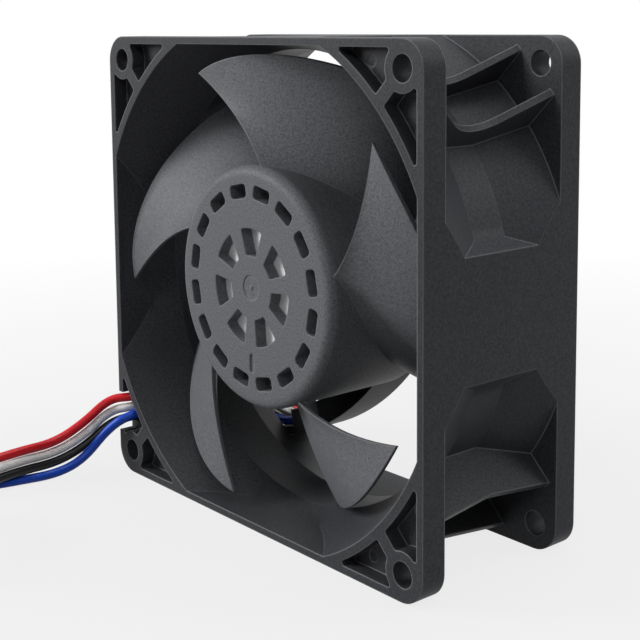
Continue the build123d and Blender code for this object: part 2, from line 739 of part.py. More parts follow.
# Rotor: a stepped steel cup, the magnet ring in it, and the bush that carries the shaft
yoke_in_r = BUSH_NECK_R + FIT
yoke_front = YOKE_FRONT + FIT
spun(
    "rotor_yoke",
    [
        (yoke_in_r, yoke_front),
        (YOKE_SHOULDER_IN_R - FIT, yoke_front),
        (yoke_shoulder - FIT, shoulder_depth + FIT),
        (YOKE_R - FIT, shoulder_depth + YOKE_SHOULDER_INSET + FIT),
        (YOKE_R - FIT, YOKE_REAR),
        (YOKE_R - YOKE_T, YOKE_REAR),
        (YOKE_R - YOKE_T, shoulder_depth + 2 * YOKE_T),
        (yoke_shoulder - YOKE_T / 2, shoulder_depth + YOKE_T),
        (YOKE_SHOULDER_IN_R - YOKE_T / 5, YOKE_FRONT + YOKE_T),
        (yoke_in_r, YOKE_FRONT + YOKE_T),
    ],
)
spun(
    "magnet_ring",
    band(MAGNET_R - MAGNET_T, MAGNET_R - FIT, MAGNET_FRONT, MAGNET_REAR),
)
bush_bore = SHAFT_R + FIT
spun(
    "shaft_bush",
    [
        (bush_bore, yoke_front),
        (BUSH_NECK_R, yoke_front),
        (BUSH_NECK_R, YOKE_FRONT + YOKE_T + FIT),
        (BUSH_R, YOKE_FRONT + YOKE_T + FIT),
        (BUSH_R, BUSH_REAR),
        (bush_bore, BUSH_REAR),
    ],
)
groove_r = SHAFT_R - RING_GROOVE
spun(
    "shaft",
    [
        (0, yoke_front + SHAFT_CHAMFER),
        (SHAFT_R - SHAFT_CHAMFER, yoke_front + SHAFT_CHAMFER),
        (SHAFT_R, yoke_front + 2 * SHAFT_CHAMFER),
        (SHAFT_R, RING_FRONT - FIT),
        (groove_r, RING_FRONT - FIT),
        (groove_r, RING_FRONT + RING_T + FIT),
        (SHAFT_R, RING_FRONT + RING_T + FIT),
        (SHAFT_R, SHAFT_END - SHAFT_CHAMFER),
        (SHAFT_R - SHAFT_CHAMFER, SHAFT_END),
        (0, SHAFT_END),
    ],
)
with BuildPart() as retaining_ring:
    with BuildSketch(across(RING_FRONT + RING_T)):
        Circle(RING_R)
        Circle(groove_r + FIT, mode=Mode.SUBTRACT)
        with Locations((0, -RING_R)):
            Rectangle(2 * groove_r * RING_MOUTH_SHARE, 2 * RING_R, mode=Mode.SUBTRACT)
    extrude(amount=RING_T)
finish(retaining_ring.part, "retaining_ring")

# A short spring between the bush and the front bearing takes up the bearings' play.
spring_front = BUSH_REAR + FIT + SPRING_WIRE_R
spring_long = FRONT_BEARING - BUSH_REAR - 2 * (FIT + SPRING_WIRE_R)
with BuildPart() as preload_spring:
    with BuildLine() as coil_line:
        Helix(
            spring_long / SPRING_TURNS,
            spring_long,
            SHAFT_R + SPRING_SLACK + SPRING_WIRE_R,
            center=at_depth((0, 0), spring_front),
            direction=(0, 1, 0),
        )
    with BuildSketch(Plane(origin=coil_line.line @ 0, z_dir=coil_line.line % 0)):
        Circle(SPRING_WIRE_R)
    sweep(path=coil_line.line, is_frenet=True)
finish(preload_spring.part, "preload_spring")


# Two deep-groove ball bearings: rings with a ball track, seven balls and a cage each
def bearing_ring(name, inner, outer, front):
    """One ring of a bearing, with the balls' track turned into it."""
    middle = front + BEARING_LONG / 2
    with BuildPart() as ring:
        with BuildSketch(section):
            with Locations(((inner + outer) / 2, middle)):
                Rectangle(outer - inner, BEARING_LONG)
            with Locations((PITCH_R, middle)):
                Circle(BALL_R + BALL_PLAY, mode=Mode.SUBTRACT)
        revolve(axis=axle)
    finish(ring.part, name)


def ball_set(place, front):
    """The balls of one bearing, and the cage that spaces them."""
    middle = across(front + BEARING_LONG / 2)
    with BuildPart() as balls:
        with Locations(middle):
            with PolarLocations(PITCH_R, BALL_COUNT):
                Sphere(BALL_R)
    finish(balls.part, f"{place}_bearing_balls")
    with BuildPart() as cage:
        with BuildSketch(middle.offset(-CAGE_LONG / 2)):
            Circle(PITCH_R + CAGE_T / 2)
            Circle(PITCH_R - CAGE_T / 2, mode=Mode.SUBTRACT)
        extrude(amount=CAGE_LONG)
        with Locations(middle):
            with PolarLocations(PITCH_R, BALL_COUNT):
                Cylinder(BALL_R + BALL_PLAY, 3 * CAGE_T, rotation=(0, 90, 0), mode=Mode.SUBTRACT)
    finish(cage.part, f"{place}_bearing_cage")


for place, front in (("front", FRONT_BEARING), ("rear", REAR_BEARING)):
    bearing_ring(f"{place}_bearing_outer_ring", BEARING_R - RACE_WALL, BEARING_R, front)
    bearing_ring(f"{place}_bearing_inner_ring", SHAFT_R + FIT, SHAFT_R + RACE_WALL, front)
    ball_set(place, front)

# The bearing tube stands in the base's boss. Its inner lip keeps the bearings apart.
lip_front = FRONT_BEARING + BEARING_LONG + FIT
lip_rear = REAR_BEARING - FIT
spun(
    "bearing_tube",
    [
        (TUBE_IN_R, TUBE_FRONT),
        (TUBE_OUT_R, TUBE_FRONT),
        (TUBE_OUT_R, TUBE_REAR),
        (TUBE_IN_R, TUBE_REAR),
        (TUBE_IN_R, lip_rear),
        (TUBE_IN_R - TUBE_LIP, lip_rear),
        (TUBE_IN_R - TUBE_LIP, lip_front),
        (TUBE_IN_R, lip_front),
    ],
)
spun("bearing_cap", band(0, BEARING_R, TUBE_REAR - CAP_LONG, TUBE_REAR))

# Stator: four poles on a laminated core, insulators over both ends, and a coil round each pole
shoe_in_r = STATOR_R - POLE_SHOE_T
with BuildPart() as stator_core:
    with BuildSketch(across(STACK_REAR)):
        Circle(STATOR_R)
        Circle(shoe_in_r, mode=Mode.SUBTRACT)
        with PolarLocations(STATOR_R, POLE_COUNT, start_angle=180 / POLE_COUNT):
            Rectangle(2 * STATOR_R - 2 * CORE_BACK_R, POLE_GAP, mode=Mode.SUBTRACT)
        with PolarLocations(STATOR_R / 2, POLE_COUNT):
            Rectangle(STATOR_R - POLE_SHOE_T / 2, TOOTH_WIDE)
        Circle(CORE_BACK_R)
        Circle(TUBE_OUT_R + FIT, mode=Mode.SUBTRACT)
    extrude(amount=STACK_LONG)
finish(stator_core.part, "stator_core")

rim_out_r = shoe_in_r - COIL_GAP / 2
rim_in_r = CORE_BACK_R + COIL_GAP


def insulator(name, plate_front, plate_rear, rim_front, rim_rear):
    """A moulded insulator: a plate that follows the core, with rims that hold the coils in."""
    with BuildPart() as piece:
        with BuildSketch(across(plate_rear)):
            Circle(rim_in_r)
            with PolarLocations(rim_out_r / 2, POLE_COUNT):
                Rectangle(rim_out_r, TOOTH_WIDE)
            Circle(TUBE_OUT_R + FIT, mode=Mode.SUBTRACT)
        extrude(amount=plate_rear - plate_front)
        with BuildSketch(across(rim_rear)):
            Circle(rim_in_r)
            Circle(rim_in_r - INSULATOR_T, mode=Mode.SUBTRACT)
            with PolarLocations(rim_out_r - INSULATOR_T / 2, POLE_COUNT):
                Rectangle(INSULATOR_T, TOOTH_WIDE + 2 * COIL_THICK)
        extrude(amount=rim_rear - rim_front)
    finish(piece.part, name)


front_plate = STACK_FRONT - FIT - INSULATOR_T
rear_plate = STACK_REAR + FIT + INSULATOR_T
insulator("front_insulator", front_plate, STACK_FRONT - FIT, front_plate - INSULATOR_RIM, front_plate)
insulator("rear_insulator", STACK_REAR + FIT, rear_plate, rear_plate, rear_plate + INSULATOR_RIM)

stack_middle = (STACK_FRONT + STACK_REAR) / 2
coil_hole = (TOOTH_WIDE + COIL_GAP, STACK_LONG + 2 * (INSULATOR_T + COIL_GAP))
with BuildPart() as windings:
    for pole in range(POLE_COUNT):
        angle = pole * 360 / POLE_COUNT
        coil_plane = Plane(
            origin=at_depth(polar(rim_in_r + COIL_GAP, angle), stack_middle),
            x_dir=(-sin(radians(angle)), 0, cos(radians(angle))),
            z_dir=(cos(radians(angle)), 0, sin(radians(angle))),
        )
        with BuildSketch(coil_plane):
            RectangleRounded(coil_hole[0] + 2 * COIL_THICK, coil_hole[1] + 2 * COIL_TALL_T, COIL_CORNER_R)
            Rectangle(*coil_hole, mode=Mode.SUBTRACT)
        extrude(amount=rim_out_r - INSULATOR_T - rim_in_r - 2 * COIL_GAP)
finish(windings.part, "windings")

# Circuit board in the base, on the insulator's terminal pins
board_r = BASE_BORE_R - BOARD_R_GAP
pin_circle = rim_in_r - INSULATOR_T / 2
with BuildPart() as circuit_board:
    with BuildSketch(across(BOARD_REAR)):
        Circle(board_r)
        Circle(TUBE_OUT_R + BOARD_R_GAP, mode=Mode.SUBTRACT)
        with PolarLocations(pin_circle, POLE_COUNT, start_angle=180 / POLE_COUNT):
            Circle(PIN_R + SLIP, mode=Mode.SUBTRACT)
    extrude(amount=BOARD_T)
finish(circuit_board.part, "circuit_board")
with BuildPart() as terminal_pins:
    with BuildSketch(across(BOARD_REAR + PIN_STAND)):
        with PolarLocations(pin_circle, POLE_COUNT, start_angle=180 / POLE_COUNT):
            Circle(PIN_R)
    extrude(amount=BOARD_REAR + PIN_STAND - rear_plate - INSULATOR_RIM)
finish(terminal_pins.part, "terminal_pins")


def on_board(name, face, size, places):
    """Components of one kind that stand on the board, their faces away from it at a depth."""
    with BuildPart() as piece:
        with BuildSketch(across(face)):
            with Locations(*places):
                Rectangle(size[0], size[1])
        extrude(amount=size[2])
    finish(piece.part, name)


on_board("driver_chip", BOARD_REAR + CHIP[2], CHIP, [polar(CHIP_OUT, CHIP_ANGLE)])
capacitor_places = [polar(CHIP_OUT, CHIP_ANGLE + n * CAPACITOR_STEP) for n in (1, 2, -1)]
on_board("board_capacitors", BOARD_REAR + CAPACITOR[2], CAPACITOR, capacitor_places)
on_board("hall_sensor", BOARD_FRONT, SENSOR, [polar(board_r - SENSOR_INSET, 180 / POLE_COUNT)])

# The leads inside the fan: soldered to the board, pressed into the channel beside the strut
# one behind another, out through the cable slot, forwards outside the barrel to the front pocket
lead_radius = strut_radius - channel_offset
half_sweep = radians(abs(lead_leave - root_bearing)) / 2
bend_x, bend_y = polar(lead_radius / cos(half_sweep), (root_bearing + lead_leave) / 2)
channel_bend = (strut_centre.X + bend_x, strut_centre.Y + bend_y)
leave_point, leave_way = on_strut(lead_leave, channel_offset), along_strut(lead_leave, back=False)
channel_out = (leave_point[0] + LEAVE_RUN * leave_way[0], leave_point[1] + LEAVE_RUN * leave_way[1])
for n, name in enumerate(LEAD_NAMES):
    reach_in = BOARD_REACH + n * BOARD_STEP
    board_point = (channel_in[0] + reach_in * inward[0], channel_in[1] + reach_in * inward[1])
    depth = LEAD_DEPTHS[n]
    turn_point = in_lead_corner(HOLE_OUT - CABLE_BACK, CABLE_SPREAD * (1.5 - n))
    free_end = from_corner(LEAD_ROUTES[name])[0]
    run_depth = BASE_FRONT - RUN_LEAD + n * RUN_STEP
    points = [
        at_depth(board_point, depth),
        at_depth(channel_bend, depth),
        at_depth(channel_out, depth),
        at_depth(turn_point, depth),
        at_depth(turn_point, run_depth),
        Vector(free_end.X, run_depth - RUN_SLANT - DEPTH / 2, free_end.Z),
        free_end,
    ]
    radii = corner_radii(points)
    radii[0] = lead_radius
    if n:
        points = [at_depth(board_point, BOARD_REAR + FIT)] + points
        radii = [BOARD_BEND_R] + radii
    finish(wire_along(points, radii), f"inner_lead_{name}")

# The free leads, the coil that takes up their length, and the plug
for name in LEAD_NAMES:
    route, tail = from_corner(LEAD_ROUTES[name]), from_corner(LEAD_TAILS[name])
    with BuildPart() as lead:
        add(wire_along(route, corner_radii(route)))
        add(wire_along(tail, corner_radii(tail)))
    finish(lead.part, f"lead_{name}")

bundle = LEAD_R + LEAD_PITCH / 2 + SLIP
coil_middle = from_corner([(*COIL_CENTRE, 0)])[0]
with BuildPart() as lead_coil:
    with BuildSketch(Plane(coil_middle)):
        Circle(COIL_R + bundle)
        Circle(COIL_R - bundle, mode=Mode.SUBTRACT)
    extrude(amount=COIL_TALL)
    with BuildSketch(Plane(coil_middle)):
        with Locations((-COIL_R, COIL_ENTRY / 2)):
            Rectangle(2 * bundle, COIL_ENTRY)
    extrude(amount=2 * bundle)
    with BuildSketch(Plane(coil_middle).offset(COIL_TALL)):
        with Locations((COIL_EXIT / 2, -COIL_R)):
            Rectangle(COIL_EXIT, 2 * bundle)
    extrude(amount=-2 * bundle)
finish(lead_coil.part, "lead_coil")

plug_x, plug_y = coil_middle.X - COIL_CENTRE[0] + PLUG_X, coil_middle.Y - COIL_R
plug_wide = 4 * PLUG_PITCH + PLUG_WALL
cavity_z = LEAD_TAILS["blue"][-1][2]
cavities = [(plug_y + PLUG_PITCH * (n - 1.5), cavity_z) for n in range(4)]
plug_back = Plane(origin=(plug_x, 0, 0), x_dir=(0, 1, 0), z_dir=(1, 0, 0))
with BuildPart() as connector_housing:
    with BuildSketch(plug_back):
        with Locations((plug_y, PLUG_TALL / 2)):
            RectangleRounded(plug_wide, PLUG_TALL, PLUG_EDGE_R)
        with Locations(*cavities):
            Rectangle(TERMINAL_SIDE + 4 * SLIP, TERMINAL_SIDE + 4 * SLIP, mode=Mode.SUBTRACT)
    extrude(amount=PLUG_LONG)
    with BuildSketch(plug_back):
        with Locations(*cavities):
            Circle(LEAD_R + SLIP)
    extrude(amount=CAVITY_DEEP, mode=Mode.SUBTRACT)
    with BuildSketch(Plane.XY.offset(PLUG_TALL)):
        with Locations(
            (plug_x + PLUG_LONG / 2, cavities[0][0]),
            (plug_x + PLUG_LONG / 2, cavities[-1][0]),
        ):
            Rectangle(PLUG_RIB[0], PLUG_RIB[1])
    extrude(amount=PLUG_RIB[2])
finish(connector_housing.part, "connector_housing")
terminal_back = from_corner(LEAD_TAILS["blue"])[-1].X
with BuildPart() as connector_terminals:
    with BuildSketch(Plane(origin=(terminal_back, 0, 0), x_dir=(0, 1, 0), z_dir=(1, 0, 0))):
        with Locations(*cavities):
            Rectangle(TERMINAL_SIDE, TERMINAL_SIDE)
    extrude(amount=TERMINAL_LONG)
finish(connector_terminals.part, "connector_terminals")
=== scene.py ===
"""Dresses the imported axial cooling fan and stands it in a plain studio.

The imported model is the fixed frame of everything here. Rigid pieces keep the shape and the
place that it gives them and get a finish, smooth shading and fine edges. The four leads are
drawn as one smooth spline each, on the route that the model's own leads follow.
"""

import json
import logging
import math
from dataclasses import dataclass, field
from enum import Enum

import bmesh
import bpy
import numpy as np
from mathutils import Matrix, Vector


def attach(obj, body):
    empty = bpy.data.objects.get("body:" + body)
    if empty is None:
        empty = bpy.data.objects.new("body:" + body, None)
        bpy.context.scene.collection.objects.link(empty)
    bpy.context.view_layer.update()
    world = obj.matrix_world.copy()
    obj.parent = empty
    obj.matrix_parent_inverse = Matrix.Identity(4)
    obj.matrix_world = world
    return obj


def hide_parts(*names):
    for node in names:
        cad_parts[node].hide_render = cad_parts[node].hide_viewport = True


LOG = logging.getLogger("cooling_fan")

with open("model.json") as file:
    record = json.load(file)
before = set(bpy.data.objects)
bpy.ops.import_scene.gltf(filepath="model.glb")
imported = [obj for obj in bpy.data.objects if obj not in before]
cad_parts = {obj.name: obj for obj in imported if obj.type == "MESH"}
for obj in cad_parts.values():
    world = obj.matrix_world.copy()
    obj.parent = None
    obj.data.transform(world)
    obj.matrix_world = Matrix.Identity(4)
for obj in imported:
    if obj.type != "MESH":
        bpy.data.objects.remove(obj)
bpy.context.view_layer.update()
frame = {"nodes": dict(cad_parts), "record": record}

Colour = tuple[float, float, float]
Point = tuple[float, float, float]

PATTERN_LOW, PATTERN_HIGH = 0.3, 0.7  # nearly all of a noise pattern's values lie between these
EDGE_SAMPLES = 6  # rays per point that look for an edge nearby
HIGHLIGHT_MATCH = 0.86  # how far the normals still agree on an edge that gets the full painted highlight
HIGHLIGHT_COOLNESS = 1.04  # how much bluer than grey the painted edge highlight is
WAVE_PERIOD = 0.314  # the length of one band of a wave pattern at scale 1


class Lead(Enum):
    """The four leads, by the colour of their insulation."""

    BLUE = "blue"
    BLACK = "black"
    WHITE = "white"
    RED = "red"


class Recipe:
    """A material in the making: its shader, its output, and the nodes that feed them."""

    def __init__(self, name: str) -> None:
        """Start a material with a bare shader.

        Args:
            name: The material's name.
        """
        self.material = bpy.data.materials.new(name)
        self.material.use_nodes = True
        self.tree = self.material.node_tree
        self.tree.nodes.clear()
        self.shader = self.node("ShaderNodeBsdfPrincipled")
        self.output = self.node("ShaderNodeOutputMaterial")
        self.link(self.shader, "BSDF", self.output, "Surface")
        self.place = self.node("ShaderNodeTexCoord")

    def node(self, kind: str, inputs: dict | None = None, **settings: object) -> bpy.types.Node:
        """Add a node.

        Args:
            kind: The node's Blender type.
            inputs: Values for its sockets, by socket name.
            **settings: Values for its properties.

        Returns:
            The new node.
        """
        node = self.tree.nodes.new(kind)
        for name, value in settings.items():
            setattr(node, name, value)
        for name, value in (inputs or {}).items():
            node.inputs[name].default_value = value
        return node

    def link(self, source: bpy.types.Node, out: str, target: bpy.types.Node, into: str) -> None:
        """Connect a node's output, by name, to another node's input."""
        self.tree.links.new(source.outputs[out], target.inputs[into])

    def noise(self, size: float, detail: float = 2.0, stretch: Point = (1, 1, 1)) -> bpy.types.Node:
        """Add a noise pattern on object coordinates.

        Args:
            size: The size of one blot in metres.
            detail: How many finer layers it carries.
            stretch: How much finer the pattern is along each axis.

        Returns:
            The noise node.
        """
        mapping = self.node("ShaderNodeMapping", {"Scale": stretch})
        noise = self.node("ShaderNodeTexNoise", {"Scale": 1 / size, "Detail": detail})
        self.link(self.place, "Object", mapping, "Vector")
        self.link(mapping, "Vector", noise, "Vector")
        return noise

    def spread(self, source: bpy.types.Node, out: str, low: float, high: float) -> bpy.types.Node:
        """Map a pattern's middle range to the range from low to high.

        Args:
            source: The node that gives the pattern.
            out: The name of its output.
            low: The value for the pattern's low end.
            high: The value for its high end.

        Returns:
            The node that gives the mapped value as Result.
        """
        ends = {"From Min": PATTERN_LOW, "From Max": PATTERN_HIGH, "To Min": low, "To Max": high}
        mapped = self.node("ShaderNodeMapRange", ends)
        self.link(source, out, mapped, "Value")
        return mapped

    def tint(self, source: bpy.types.Node, out: str, dark: Colour, light: Colour) -> None:
        """Colour the shader by a pattern's middle range.

        Args:
            source: The node that gives the pattern.
            out: The name of its output.
            dark: The colour for the pattern's low end.
            light: The colour for its high end.
        """
        ramp = self.node("ShaderNodeValToRGB")
        ramp.color_ramp.elements[0].position = PATTERN_LOW
        ramp.color_ramp.elements[0].color = (*dark, 1)
        ramp.color_ramp.elements[1].position = PATTERN_HIGH
        ramp.color_ramp.elements[1].color = (*light, 1)
        self.link(source, out, ramp, "Fac")
        self.link(ramp, "Color", self.shader, "Base Color")

    def paint_edge_highlights(self, radius: float, tone: float) -> None:
        """Paint a highlight into the colour within a radius of sharp edges, where rounded edges
        would catch the light.

        Args:
            radius: How far from the edge the tone reaches, in metres.
            tone: The grey of the painted highlight on the edge itself.
        """
        rounded = self.node("ShaderNodeBevel", {"Radius": radius}, samples=EDGE_SAMPLES)
        plain = self.node("ShaderNodeNewGeometry")
        match = self.node("ShaderNodeVectorMath", operation="DOT_PRODUCT")
        self.tree.links.new(rounded.outputs["Normal"], match.inputs[0])
        self.tree.links.new(plain.outputs["Normal"], match.inputs[1])
        ends = {"From Min": 1.0, "From Max": HIGHLIGHT_MATCH, "To Min": 0.0, "To Max": 1.0}
        highlight_share = self.node("ShaderNodeMapRange", ends)
        self.link(match, "Value", highlight_share, "Value")
        mix = self.node("ShaderNodeMix", data_type="RGBA")
        own_colour = self.shader.inputs["Base Color"].links[0].from_socket
        self.tree.links.new(highlight_share.outputs["Result"], mix.inputs[0])
        self.tree.links.new(own_colour, mix.inputs[6])
        # Painted highlight: the edge takes a pale grey in place of its own colour, standing in for
        # light caught by rounded edges.
        mix.inputs[7].default_value = (tone, tone, tone * HIGHLIGHT_COOLNESS, 1)
        self.tree.links.new(mix.outputs[2], self.shader.inputs["Base Color"])

    def relief(self, source: bpy.types.Node, out: str, depth: float, edge: float = 0.0) -> None:
        """Give the shader a fine relief, and soften its edges.

        Args:
            source: The node whose value is the relief's height.
            out: The name of its output.
            depth: The relief's depth in metres.
            edge: The radius that sharp edges seem to have, in metres.
        """
        bump = self.node("ShaderNodeBump", {"Strength": 1.0, "Distance": depth})
        self.link(source, out, bump, "Height")
        if edge:
            rounding = self.node("ShaderNodeBevel", {"Radius": edge}, samples=EDGE_SAMPLES)
            self.link(rounding, "Normal", bump, "Normal")
        self.link(bump, "Normal", self.shader, "Normal")


def shaded(colour: Colour, share: float) -> Colour:
    """A colour times a share."""
    return tuple(min(1.0, part * share) for part in colour)


@dataclass(frozen=True)
class Finish:
    """What every finish has: a name and the colour it is written with."""

    name: str
    colour: Colour

    def material(self) -> bpy.types.Material:
        """Build the finish's material."""
        raise NotImplementedError


@dataclass(frozen=True)
class Moulded(Finish):
    """Glass-filled plastic from a spark-eroded mould: a fine even grain and softened edges.

    The grain's size, its depth, the edges' radius and the size of the drift in the roughness are
    in metres. The speckle and the drift's reach are shares, and the edge tone is the grey of a
    painted highlight along every edge.
    """

    roughness: float = 0.5
    grain: float = 0.00042
    depth: float = 0.000016
    edge: float = 0.0004
    speckle: float = 0.3
    gloss: float = 0.1
    edge_highlight_tone: float = 0.11
    drift: float = 0.02
    drift_reach: float = 0.03

    def material(self) -> bpy.types.Material:
        """Build the plastic, its speckle and its grain.

        Returns:
            The material.
        """
        recipe = Recipe(self.name)
        recipe.shader.inputs["Specular IOR Level"].default_value = self.gloss
        grain = recipe.noise(self.grain, detail=3.0)
        drift = recipe.noise(self.drift, detail=1.0)
        dark, light = (shaded(self.colour, 1 + side * self.speckle) for side in (-1, 1))
        recipe.tint(grain, "Fac", dark, light)
        # Painted highlight along every edge, in place of light caught by rounded edges.
        recipe.paint_edge_highlights(self.edge, self.edge_highlight_tone)
        low, high = (self.roughness + side * self.drift_reach for side in (-1, 1))
        rough = recipe.spread(drift, "Fac", low, high)
        recipe.link(rough, "Result", recipe.shader, "Roughness")
        recipe.relief(grain, "Fac", self.depth, self.edge)
        return recipe.material


@dataclass(frozen=True)
class Metal(Finish):
    """Turned, ground or plated metal, with fine marks across its axis.

    The marks' size and depth and the edges' radius are in metres. The two spans are the shares
    of the colour and the changes in roughness from a mark's bottom to its top.
    """

    roughness: float = 0.3
    metalness: float = 1.0
    marks: float = 0.00025
    stretch: Point = (1, 6, 1)
    depth: float = 0.000003
    edge: float = 0.00008
    colour_span: tuple[float, float] = (0.9, 1.08)
    rough_span: tuple[float, float] = (-0.06, 0.08)

    def material(self) -> bpy.types.Material:
        """Build the metal and its machining marks.

        Returns:
            The material.
        """
        recipe = Recipe(self.name)
        recipe.shader.inputs["Metallic"].default_value = self.metalness
        marks = recipe.noise(self.marks, detail=2.0, stretch=self.stretch)
        recipe.tint(marks, "Fac", *(shaded(self.colour, share) for share in self.colour_span))
        rough = recipe.spread(marks, "Fac", *(self.roughness + more for more in self.rough_span))
        recipe.link(rough, "Result", recipe.shader, "Roughness")
        recipe.relief(marks, "Fac", self.depth, self.edge)
        return recipe.material


@dataclass(frozen=True)
class Insulation(Finish):
    """Extruded lead insulation: smooth, slightly glossy, with a faint unevenness.

    The unevenness's size and depth are in metres. The spans are as in metal.
    """

    roughness: float = 0.34
    gloss: float = 0.25
    unevenness: float = 0.003
    depth: float = 0.00002
    colour_span: tuple[float, float] = (0.9, 1.06)
    rough_span: tuple[float, float] = (-0.05, 0.07)

    def material(self) -> bpy.types.Material:
        """Build the insulation.

        Returns:
            The material.
        """
        recipe = Recipe(self.name)
        recipe.shader.inputs["Specular IOR Level"].default_value = self.gloss
        waviness = recipe.noise(self.unevenness, detail=1.5)
        recipe.tint(waviness, "Fac", *(shaded(self.colour, share) for share in self.colour_span))
        rough = recipe.spread(waviness, "Fac", *(self.roughness + more for more in self.rough_span))
        recipe.link(rough, "Result", recipe.shader, "Roughness")
        recipe.relief(waviness, "Fac", self.depth)
        return recipe.material


@dataclass(frozen=True)
class Enamelled(Finish):
    """Enamelled winding wire, turn beside turn."""

    wire: float = 0.0003
    metalness: float = 0.7
    roughness: float = 0.35
    colour_span: tuple[float, float] = (0.55, 1.2)

    def material(self) -> bpy.types.Material:
        """Build the wire's turns as even bands.

        Returns:
            The material.
        """
        recipe = Recipe(self.name)
        recipe.shader.inputs["Metallic"].default_value = self.metalness
        recipe.shader.inputs["Roughness"].default_value = self.roughness
        waves = {"Scale": WAVE_PERIOD / self.wire, "Distortion": 0.4, "Detail": 1.0}
        turns = recipe.node("ShaderNodeTexWave", waves, bands_direction="DIAGONAL")
        recipe.link(recipe.place, "Object", turns, "Vector")
        recipe.tint(turns, "Fac", *(shaded(self.colour, share) for share in self.colour_span))
        recipe.relief(turns, "Fac", self.wire / 4)
        return recipe.material


@dataclass(frozen=True)
class Laminate(Finish):
    """Circuit board: lacquer over copper tracks, which show as paler bands."""

    track: float = 0.0022
    track_share: float = 1.5
    depth: float = 0.00002
    roughness: float = 0.32

    def material(self) -> bpy.types.Material:
        """Build the board's lacquer and its tracks.

        Returns:
            The material.
        """
        recipe = Recipe(self.name)
        recipe.shader.inputs["Roughness"].default_value = self.roughness
        pattern = {"Scale": 1 / self.track}
        cells = recipe.node("ShaderNodeTexVoronoi", pattern, distance="MANHATTAN")
        recipe.link(recipe.place, "Object", cells, "Vector")
        recipe.tint(cells, "Distance", shaded(self.colour, self.track_share), self.colour)
        recipe.relief(cells, "Distance", self.depth)
        return recipe.material


# Each edge tone is the grey of the painted edge highlight on that plastic.
FRAME_PLASTIC = Moulded("frame_plastic", (0.0385, 0.0402, 0.0445), roughness=0.46, edge_highlight_tone=0.2)
IMPELLER_PLASTIC = Moulded(
    "impeller_plastic", (0.121, 0.1255, 0.135), roughness=0.44, grain=0.00036, edge_highlight_tone=0.2
)
PLUG_PLASTIC = Moulded(
    "plug_plastic", (0.78, 0.76, 0.7), roughness=0.42, depth=0.000004, speckle=0.03, edge_highlight_tone=0.84
)
INSULATOR = Moulded(
    "insulator_plastic",
    (0.8, 0.78, 0.72),
    roughness=0.45,
    depth=0.000004,
    speckle=0.03,
    edge_highlight_tone=0.84,
)
CHIP = Moulded("chip_plastic", (0.02, 0.02, 0.021), roughness=0.55, grain=0.0002)
CERAMIC = Moulded("capacitor_ceramic", (0.46, 0.34, 0.2), grain=0.0003, speckle=0.1, edge_highlight_tone=0.5)
MAGNET = Moulded("bonded_magnet", (0.06, 0.055, 0.055), roughness=0.6, grain=0.0003, speckle=0.25)
ZINC = Metal("zinc_plate", (0.9, 0.91, 0.93), roughness=0.5, metalness=0.35, stretch=(1, 1, 1))
STEEL = Metal("ground_steel", (0.62, 0.62, 0.63), roughness=0.25)
SHEETS = Metal("core_sheets", (0.3, 0.3, 0.31), roughness=0.5, marks=0.0005, stretch=(0.1, 8, 0.1))
TIN = Metal("tinned_wire", (0.78, 0.78, 0.77), roughness=0.28)
BRASS = Metal("turned_brass", (0.76, 0.58, 0.3), roughness=0.3)
COPPER = Enamelled("winding_wire", (0.5, 0.2, 0.08))
BOARD = Laminate("board_laminate", (0.02, 0.14, 0.06))
LEAD_FINISH = {
    Lead.BLUE: Insulation("blue_insulation", (0.004, 0.062, 0.5)),
    Lead.BLACK: Insulation("black_insulation", (0.012, 0.012, 0.013)),
    Lead.WHITE: Insulation("white_insulation", (0.8, 0.8, 0.78)),
    Lead.RED: Insulation("red_insulation", (0.62, 0.008, 0.016)),
}


class Finisher:
    """Builds each finish once and hands it out."""

    def __init__(self) -> None:
        """Start with nothing built."""
        self.built: dict[str, bpy.types.Material] = {}

    def material(self, finish: Finish) -> bpy.types.Material:
        """Give the material of a finish, built on first use.

        Args:
            finish: The finish.

        Returns:
            Its material.
        """
        if finish.name not in self.built:
            self.built[finish.name] = finish.material()
        return self.built[finish.name]

    def coat(self, obj: bpy.types.Object, finish: Finish) -> None:
        """Put a finish on all of a piece.

        Args:
            obj: The piece.
            finish: The finish.
        """
        material = self.material(finish)
        if not obj.material_slots:
            obj.data.materials.append(material)
        for slot in obj.material_slots:
            slot.material = material


